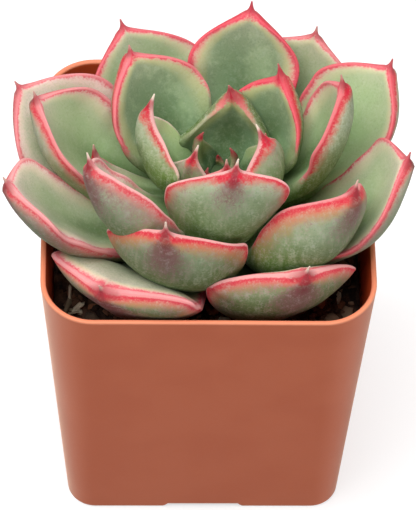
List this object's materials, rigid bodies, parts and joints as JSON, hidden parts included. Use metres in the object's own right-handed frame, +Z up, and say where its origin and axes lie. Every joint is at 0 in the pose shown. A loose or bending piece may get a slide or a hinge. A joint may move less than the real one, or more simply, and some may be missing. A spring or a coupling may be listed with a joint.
{
  "type": "potted silhouette echeveria",
  "caption": "Compact succulent rosette of thick, cupped, red-edged leaves with pointed tips, growing in a tapered square terracotta-coloured plastic pot.",
  "frame": {"origin": "on the surface the pot stands on, below the middle of the square pot", "axes": "+Z up, -Y to the front of the pot as the picture shows it, +X to the right seen from the front"},
  "size_m": [0.0687, 0.057, 0.0905],
  "materials": {
    "pot_plastic": "satin",
    "potting_mix": "matte",
    "stem_flesh": "matte",
    "leaf_flesh": "satin"
  },
  "bodies": {
    "root": {"pot": "pot_plastic", "soil": "potting_mix", "stem": "stem_flesh", "leaf_01": "leaf_flesh", "leaf_02": "leaf_flesh", "leaf_03": "leaf_flesh", "leaf_04": "leaf_flesh", "leaf_05": "leaf_flesh", "leaf_06": "leaf_flesh", "leaf_07": "leaf_flesh", "leaf_08": "leaf_flesh", "leaf_09": "leaf_flesh", "leaf_10": "leaf_flesh", "leaf_11": "leaf_flesh", "leaf_12": "leaf_flesh", "leaf_13": "leaf_flesh", "leaf_14": "leaf_flesh", "leaf_15": "leaf_flesh", "leaf_16": "leaf_flesh", "leaf_17": "leaf_flesh", "leaf_18": "leaf_flesh", "leaf_19": "leaf_flesh", "leaf_20": "leaf_flesh", "leaf_21": "leaf_flesh", "leaf_22": "leaf_flesh", "leaf_23": "leaf_flesh", "leaf_24": "leaf_flesh", "leaf_25": "leaf_flesh", "leaf_26": "leaf_flesh", "leaf_27": "leaf_flesh", "leaf_28": "leaf_flesh", "leaf_29": "leaf_flesh"}
  },
  "joints": []
}
